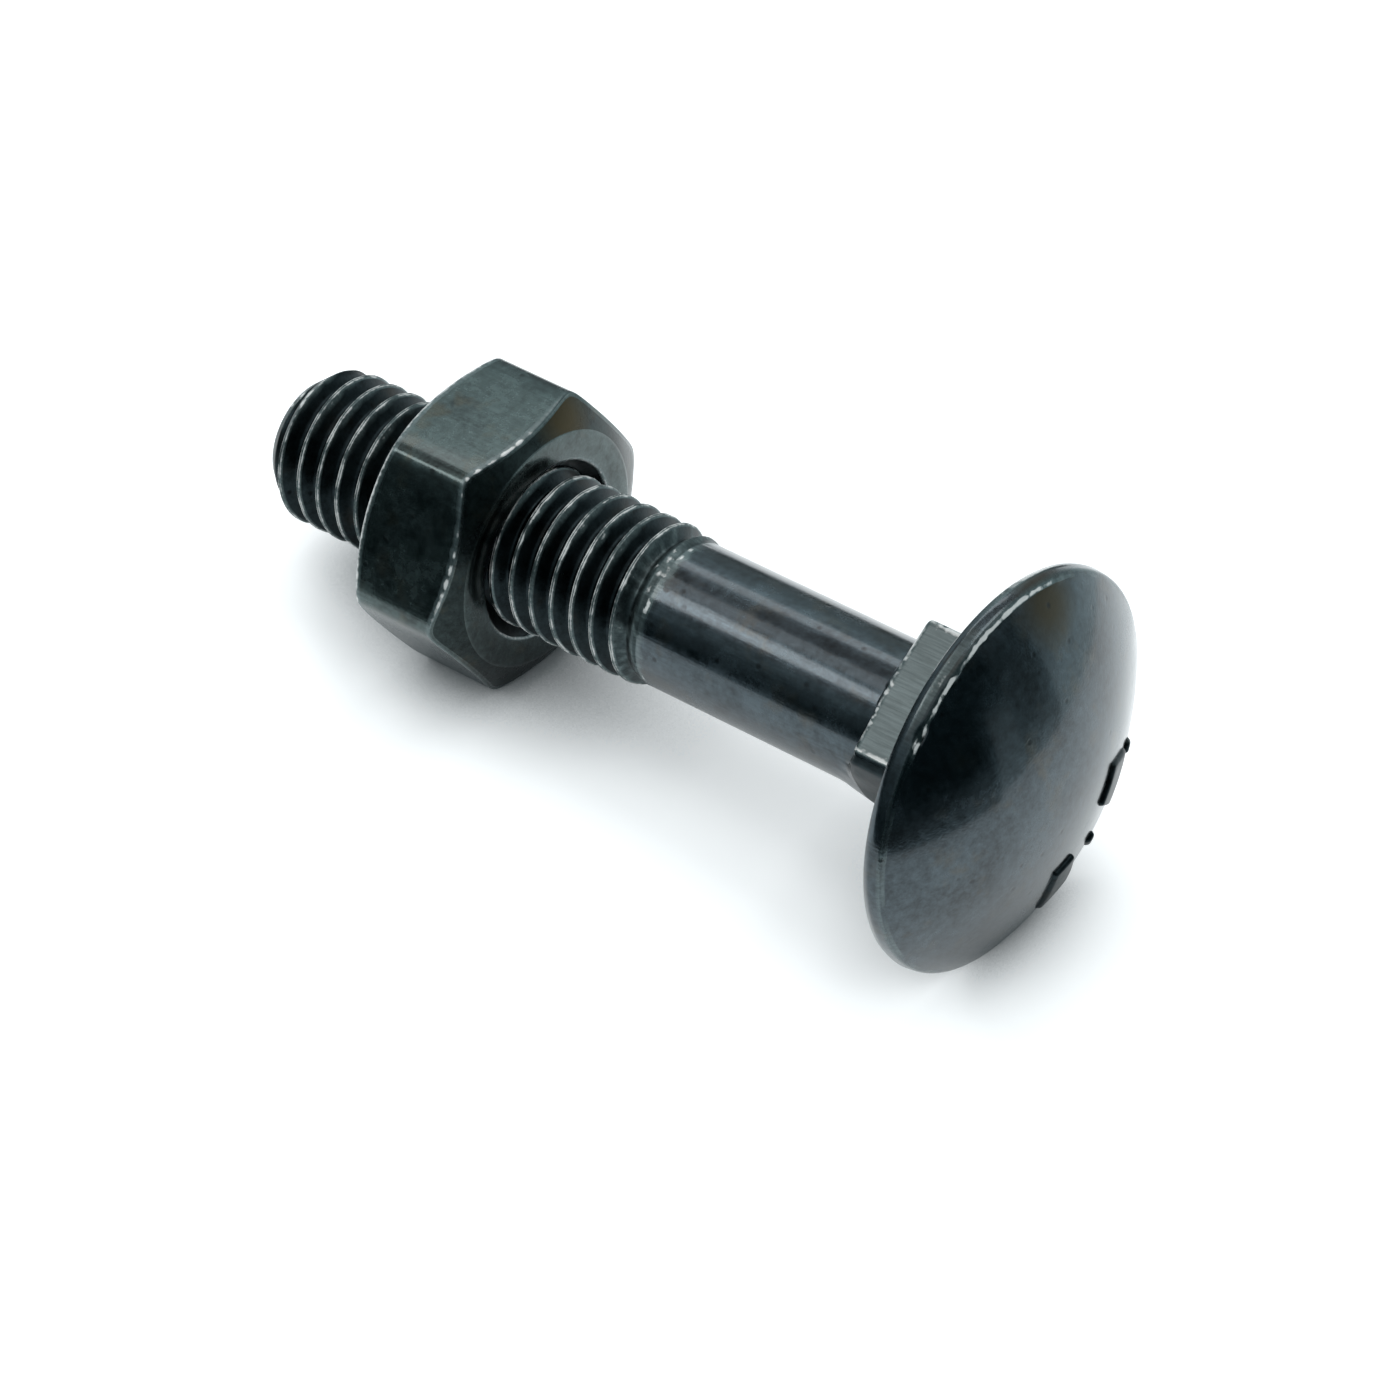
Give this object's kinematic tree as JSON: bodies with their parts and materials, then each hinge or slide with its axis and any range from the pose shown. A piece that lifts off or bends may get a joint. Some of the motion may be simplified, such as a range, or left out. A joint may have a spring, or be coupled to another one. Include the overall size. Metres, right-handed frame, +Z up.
{
  "type": "carriage bolt with hexagon nut",
  "caption": "Domed-head bolt with a square neck, plain shank and coarse threaded end, carrying a hexagon nut part of the way along the thread.",
  "frame": {"origin": "middle of the bounding box at floor level, with the bolt lying on its head's rim and on one flat of the nut", "axes": "+X along the length from the threaded end toward the head, +Z up; the bolt's own axis rises 5.5 degrees toward the head"},
  "size_m": [0.056, 0.0246, 0.0245],
  "materials": {
    "bolt_steel": "black oxide, lightly oiled, semi-gloss",
    "nut_steel": "black oxide, lightly oiled, semi-gloss"
  },
  "bodies": {
    "bolt": {"bolt": "bolt_steel"},
    "nut": {"hex_nut": "nut_steel"}
  },
  "joints": [
    {"name": "nut_travel", "type": "slide", "parent": "bolt", "child": "nut", "axis": [0.9954, 0, 0.0957], "range_m": [-0.0195, 0.0075]}
  ]
}
